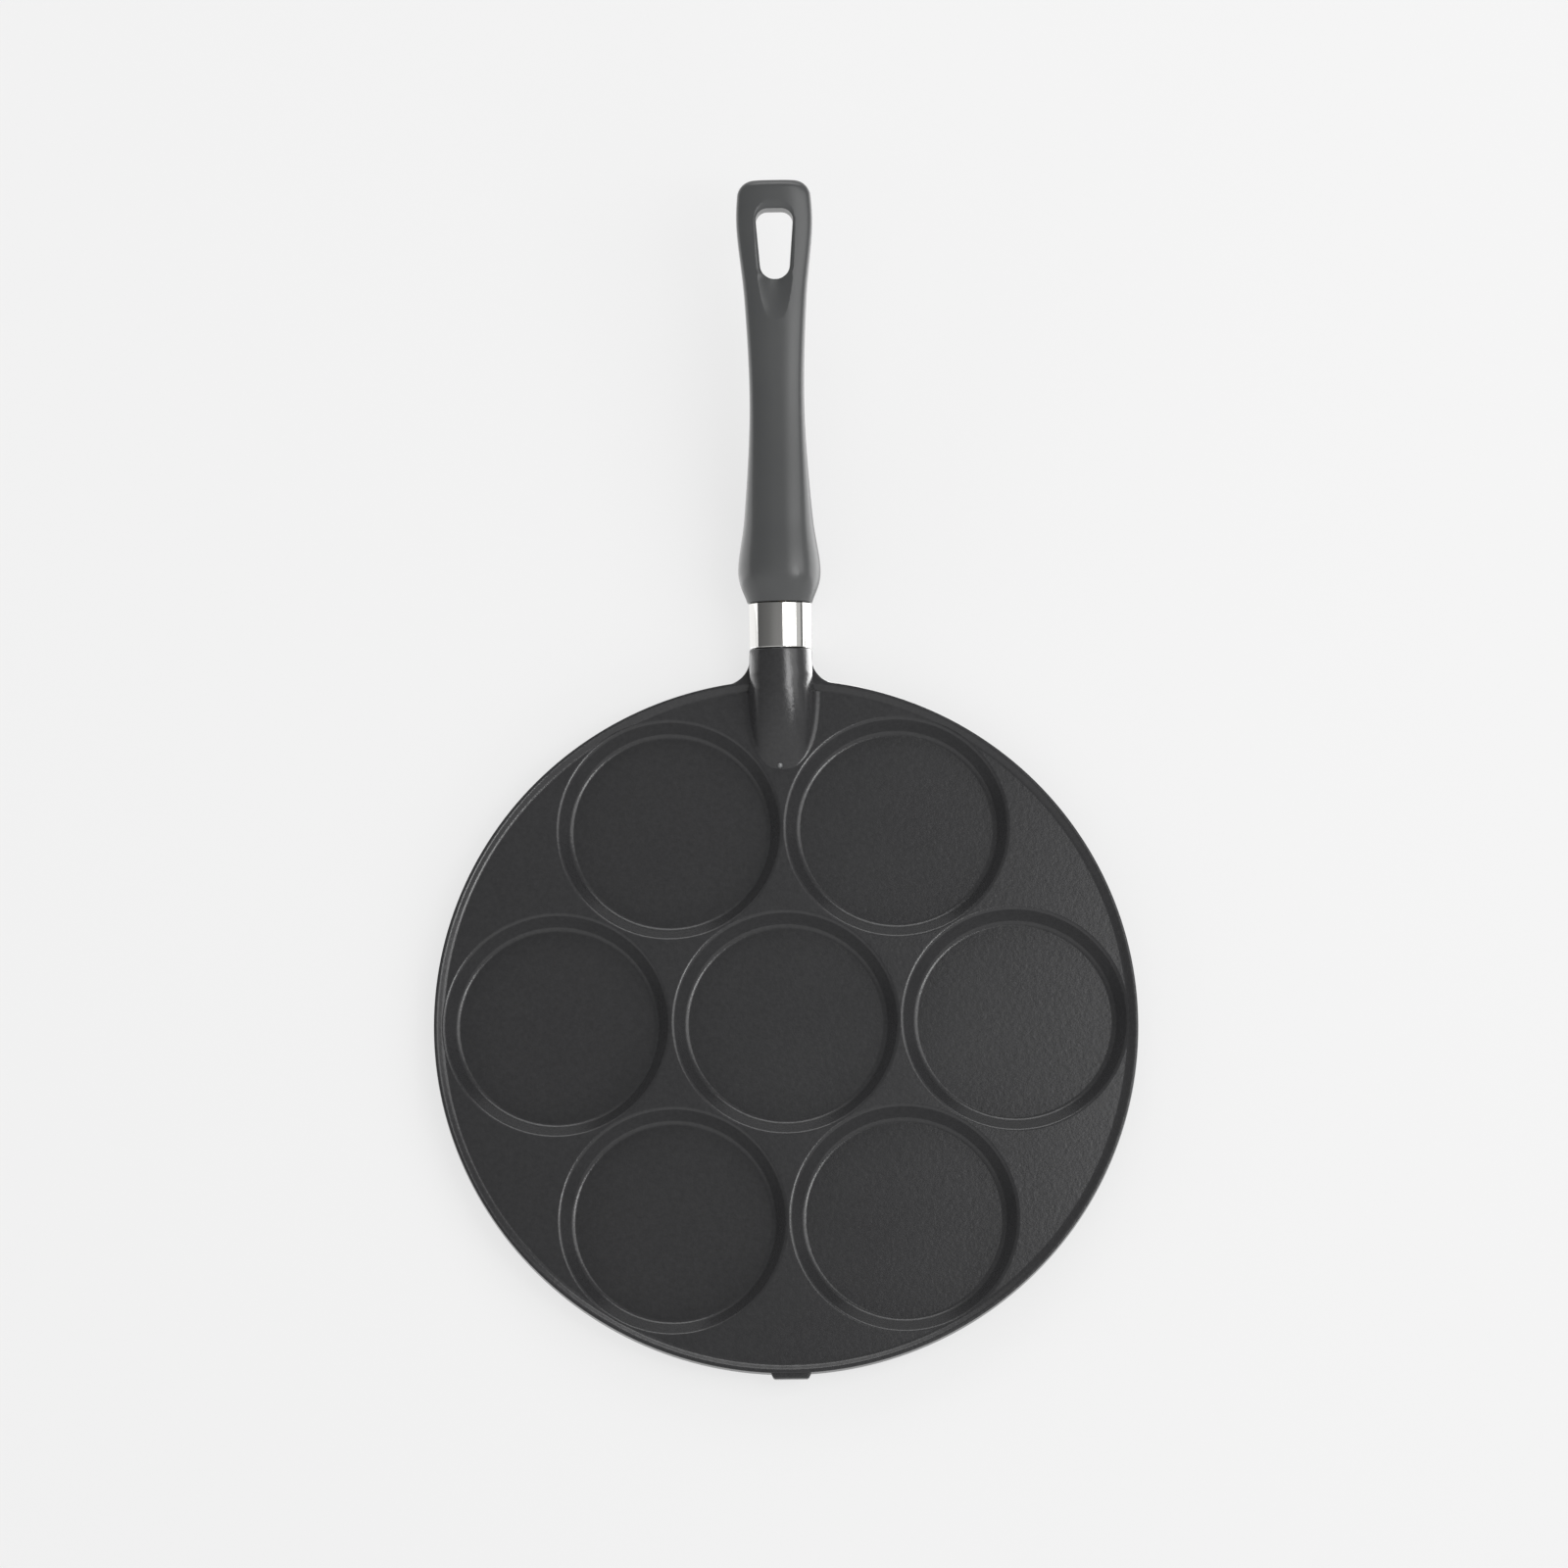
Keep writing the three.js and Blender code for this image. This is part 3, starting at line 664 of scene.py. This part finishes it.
bump = add(tree, "ShaderNodeBump", {"Strength": 0.3, "Distance": 0.2 * MM},
           {"Height": grain.outputs["Fac"]})
tree.links.new(tint.outputs["Color"], shader.inputs["Base Color"])
tree.links.new(sheen.outputs["Result"], shader.inputs["Roughness"])
tree.links.new(bump.outputs["Normal"], shader.inputs["Normal"])
shader.inputs["IOR"].default_value = 1.5

# %% [markdown]
# ## Polished steel
# The flame guard is stainless steel, drawn and buffed to a mirror. Buffing leaves faint lines
# round the tube, which show only as a slight softness in the reflections. So a noise that is drawn
# out round the tube changes the roughness, and the colour stays even.

# %% Polished steel
# Real buffing lines are a few hundredths of a millimetre. They are drawn at 0.3 mm, so that they show.
steel, tree, shader = finish_named("buffed_stainless_steel")
where = add(tree, "ShaderNodeTexCoord")
lay = add(tree, "ShaderNodeMapping", {"Rotation": (rise, 0.0, 0.0), "Scale": (0.02, 1.0, 0.02)},
          {"Vector": where.outputs["Object"]})
buff = add(tree, "ShaderNodeTexNoise", {"Scale": 1 / (0.3 * MM), "Detail": 3.0},
           {"Vector": lay.outputs["Vector"]})
soft = add(tree, "ShaderNodeMapRange", {"To Min": 0.06, "To Max": 0.12}, {"Value": buff.outputs["Fac"]})
tree.links.new(soft.outputs["Result"], shader.inputs["Roughness"])
shader.inputs["Base Color"].default_value = linear("#e9e8e5")
shader.inputs["Metallic"].default_value = 1.0

# %% [markdown]
# ## Phenolic
# Phenolic is a hard thermoset moulded in a polished tool, so it is smoother than the coating. It
# is a dark neutral grey with a satin gloss, and its filler gives it a very fine grain. One fine
# noise makes the grain in gloss and bump, and a slow one clouds the colour a little.

# %% Phenolic
# The real filler is about a tenth of a millimetre. It is drawn at 0.7 mm, because finer would not show.
phenolic, tree, shader = finish_named("moulded_phenolic")
where = add(tree, "ShaderNodeTexCoord")
filler = add(tree, "ShaderNodeTexNoise", {"Scale": 1 / (0.7 * MM), "Detail": 2.0},
             {"Vector": where.outputs["Object"]})
cloud = add(tree, "ShaderNodeTexNoise", {"Scale": 1 / (18 * MM), "Detail": 3.0},
            {"Vector": where.outputs["Object"]})
tint = add(tree, "ShaderNodeValToRGB", None, {"Fac": cloud.outputs["Fac"]})
tint.color_ramp.elements[0].color = linear("#3f4041")
tint.color_ramp.elements[1].color = linear("#454646")
gloss = add(tree, "ShaderNodeMapRange", {"To Min": 0.27, "To Max": 0.34}, {"Value": filler.outputs["Fac"]})
bump = add(tree, "ShaderNodeBump", {"Strength": 0.12, "Distance": 0.05 * MM},
           {"Height": filler.outputs["Fac"]})
tree.links.new(tint.outputs["Color"], shader.inputs["Base Color"])
tree.links.new(gloss.outputs["Result"], shader.inputs["Roughness"])
tree.links.new(bump.outputs["Normal"], shader.inputs["Normal"])
shader.inputs["IOR"].default_value = 1.55

# %% [markdown]
# ## Zinc and brass
# The stud and the washer are plated with zinc, a grey metal with a faint cloudy bloom, and the
# insert is turned brass with fine tool lines. They are closed in and show only when the pan is taken
# apart, so each is a plain metal with one noise in its roughness.

# %% Zinc plate
zinc, tree, shader = finish_named("zinc_plated_steel")
where = add(tree, "ShaderNodeTexCoord")
bloom = add(tree, "ShaderNodeTexNoise", {"Scale": 1 / (3 * MM), "Detail": 4.0},
            {"Vector": where.outputs["Object"]})
dull = add(tree, "ShaderNodeMapRange", {"To Min": 0.28, "To Max": 0.42}, {"Value": bloom.outputs["Fac"]})
tree.links.new(dull.outputs["Result"], shader.inputs["Roughness"])
shader.inputs["Base Color"].default_value = linear("#b4b6b8")
shader.inputs["Metallic"].default_value = 1.0

# %% Turned brass
brass, tree, shader = finish_named("turned_brass")
where = add(tree, "ShaderNodeTexCoord")
lay = add(tree, "ShaderNodeMapping", {"Rotation": (rise, 0.0, 0.0), "Scale": (0.05, 1.0, 0.05)},
          {"Vector": where.outputs["Object"]})
lines = add(tree, "ShaderNodeTexNoise", {"Scale": 1 / (0.2 * MM)}, {"Vector": lay.outputs["Vector"]})
dull = add(tree, "ShaderNodeMapRange", {"To Min": 0.2, "To Max": 0.36}, {"Value": lines.outputs["Fac"]})
tree.links.new(dull.outputs["Result"], shader.inputs["Roughness"])
shader.inputs["Base Color"].default_value = linear("#c9a24a")
shader.inputs["Metallic"].default_value = 1.0

# %% [markdown]
# ## Bare aluminium
# On the pip the coating has worn off, and the cast metal shows: pale grey and dull, because a break
# is rough. A plain metal is enough for such a small spot, with the grain of the break in its
# roughness.

# %% Bare aluminium
bare, tree, shader = finish_named("bare_cast_aluminium")
where = add(tree, "ShaderNodeTexCoord")
break_marks = add(tree, "ShaderNodeTexNoise", {"Scale": 1 / (0.4 * MM), "Detail": 3.0},
                  {"Vector": where.outputs["Object"]})
dull = add(tree, "ShaderNodeMapRange", {"To Min": 0.5, "To Max": 0.7},
           {"Value": break_marks.outputs["Fac"]})
tree.links.new(dull.outputs["Result"], shader.inputs["Roughness"])
shader.inputs["Base Color"].default_value = linear("#a6a7a8")
shader.inputs["Metallic"].default_value = 1.0

# %% [markdown]
# ## Dressing the frame
# Each fine piece takes the place of its coarse solid and moves with the frame. The three inner
# pieces could be made again too, but nobody sees them closely, so they keep their own solids and
# only take a finish.

# %% Dress
for piece, node, slot, finish in (
    (pan, "pan_body", "coated_aluminium", coating),
    (pip, "pan_body", "coated_aluminium", bare),
    (guard, "flame_guard", "polished_steel", steel),
    (handle, "handle", "phenolic", phenolic),
):
    piece.data.materials.clear()
    piece.data.materials.append(finish)
    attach(piece, "root")
    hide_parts(node)
for node, finish in (("handle_stud", zinc), ("wave_washer", zinc), ("threaded_insert", brass)):
    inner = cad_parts[node]
    inner.data.materials.clear()
    inner.data.materials.append(finish)
print("dressed:", pan.name, pip.name, guard.name, handle.name)

# %% [markdown]
# ## Floor
# The pan lies on a sheet of white paper. More light would make the paper white, but it would burn
# out the pan as well. So the paper is partly self-lit for the camera and for mirror-like pieces, and
# the rest of it is plain paper that takes the shadow.

# %% Floor
self_lit = 0.78
floor_mesh = bpy.data.meshes.new("floor")
floor_mesh.from_pydata([(-4, -4, 0), (4, -4, 0), (4, 4, 0), (-4, 4, 0)], [], [(0, 1, 2, 3)])
floor = bpy.data.objects.new("floor", floor_mesh)
floor.location.z = -0.0005
bpy.context.scene.collection.objects.link(floor)
paper, tree, shader = finish_named("white_paper_sweep")
shader.inputs["Base Color"].default_value = linear("#e2e2e2")
shader.inputs["Roughness"].default_value = 0.9
ray = add(tree, "ShaderNodeLightPath")
share = add(tree, "ShaderNodeMath", {"operation": "MULTIPLY_ADD", 1: self_lit},
            {0: ray.outputs["Is Camera Ray"], 2: ray.outputs["Is Glossy Ray"]})
glow = add(tree, "ShaderNodeEmission", {"Color": linear("#f1f1f1"), "Strength": 1.0})
mixed = add(tree, "ShaderNodeMixShader", None,
            {0: share.outputs["Value"], 1: shader.outputs["BSDF"], 2: glow.outputs["Emission"]})
tree.links.new(mixed.outputs["Shader"], tree.nodes["Material Output"].inputs["Surface"])
floor.data.materials.append(paper)

# %% [markdown]
# ## Soft boxes
# Dark glossy pieces are drawn by what they mirror, so the lamps are soft boxes with even faces. The
# side box, high on the right, lays a bright strip on the flame guard and the crowns, and a small
# bright core in front of it makes the highlights. The far box lights the walls that face the handle,
# and the low box is a dim one for the right of the flame guard. The two fills lift the shadows and
# stay out of reflections. The casting needs a stronger highlight than the handle, so a second core
# is linked to the metal pieces alone. It stands a little behind the first, because a mirrored ray
# counts only one of two lamps that share a place.

# %% Soft boxes
metal_only = bpy.data.collections.new("metal_only")
metal_only.objects.link(pan)
metal_only.objects.link(guard)


def soft_box(name, place, aim, width, height, radiance):
    """An area light whose power follows from its size and brightness; boss lamps reach metal alone."""
    lamp = bpy.data.lights.new(name, "AREA")
    lamp.shape = "RECTANGLE"
    lamp.size, lamp.size_y = width, height
    lamp.energy = radiance * math.pi * width * height
    holder = bpy.data.objects.new(name, lamp)
    holder.location = place
    holder.rotation_euler = (Vector(aim) - Vector(place)).to_track_quat("-Z", "Y").to_euler()
    holder.visible_camera = False
    if name.startswith("boss"):
        holder.light_linking.receiver_collection = metal_only
    bpy.context.scene.collection.objects.link(holder)
    print(name, "power:", round(lamp.energy, 2))
    return holder


for name, place, aim, width, height, radiance in (
    ("side_box", (0.745, 0.20, 1.075), (0, 0.20, 0.02), 0.6, 1.24, 2.2),
    ("side_core", (0.615, -0.09, 1.10), (0, 0.10, 0.02), 0.2, 0.5, 5.6),
    ("far_box", (0.15, 1.2, 0.7), (0, 0.05, 0), 1.2, 0.5, 2.5),
    ("front_fill", (1.2, -1.6, 0.8), (0, 0, 0.01), 2.24, 0.8, 3.0),
    ("left_fill", (-1.2, 0.1, 0.45), (0, 0, 0.01), 1.2, 0.5, 1.75),
    ("low_box", (1.23, 0.17, 0.44), (0, 0.17, 0.02), 0.6, 0.5, 0.45),
    ("boss_core", (0.625, -0.095, 1.12), (0, 0.10, 0.02), 0.2, 0.5, 3.2),
):
    lamp = soft_box(name, place, aim, width, height, radiance)
    lamp.visible_glossy = not name.endswith("fill")

# %% [markdown]
# ## Cards
# The flanks mirror the paper beside them, and its shade would leave them dark. A photographer lays
# pale cards there, and so does this cell: lit cards on the paper, facing up, that show in
# reflections and light no matte surface. The two beside the boss are linked to the metal pieces
# alone, because on the bulb they would leave a white spot.

# %% Cards
for name, x, y, width, length, radiance in (
    ("boss_card", 0.046, 0.15, 0.052, 0.036, 7.5),
    ("boss_left_card", -0.046, 0.138, 0.052, 0.02, 1.3),
    ("collar_card", -0.06, 0.163, 0.08, 0.028, 0.2),
    ("right_card", 0.265, 0.27, 0.47, 0.22, 1.7),
    ("left_card", -0.26, 0.275, 0.48, 0.21, 0.6),
):
    card = soft_box(name, (x, y, 0.0), (x, y, 1.0), width, length, radiance)
    card.rotation_euler = (math.pi, 0, 0)
    card.visible_diffuse = False

# %% [markdown]
# ## The room
# The room is what the pan mirrors between the lamps. One grey all round would look flat, so a ramp
# along the pan's length makes it bright behind the camera, dim overhead and bright again beyond the
# handle. For all but mirrored rays it is a little brighter, which fills the shadows.

# %% Room
fill_level = 0.3
room = bpy.data.worlds.new("room")
bpy.context.scene.world = room
room.use_nodes = True
air = room.node_tree
ray = add(air, "ShaderNodeLightPath")
level = add(air, "ShaderNodeMapRange", {"To Min": fill_level, "To Max": 0.0},
            {"Value": ray.outputs["Is Glossy Ray"]})
toward = add(air, "ShaderNodeTexCoord")
heading = add(air, "ShaderNodeSeparateXYZ", None, {"Vector": toward.outputs["Generated"]})
along = add(air, "ShaderNodeMapRange", {"From Min": -1.0}, {"Value": heading.outputs["Y"]})
sweep = add(air, "ShaderNodeValToRGB", None, {"Fac": along.outputs["Result"]})
tones = ((0.25, 0.66), (0.44, 0.24), (0.46, 0.15), (0.55, 0.09), (0.66, 0.2), (0.875, 0.2), (0.975, 0.9))
stops = sweep.color_ramp.elements
for k, (place, tone) in enumerate(tones):
    stop = stops[k] if k < 2 else stops.new(place)
    stop.position, stop.color = place, (tone, tone, tone, 1)
strength = add(air, "ShaderNodeMath", {"operation": "ADD"},
               {0: level.outputs["Result"], 1: sweep.outputs["Color"]})
air.nodes["Background"].inputs["Color"].default_value = (1, 1, 1, 1)
air.links.new(strength.outputs["Value"], air.nodes["Background"].inputs["Strength"])
bpy.context.scene.view_settings.view_transform = "Standard"
print("room tones:", len(stops))
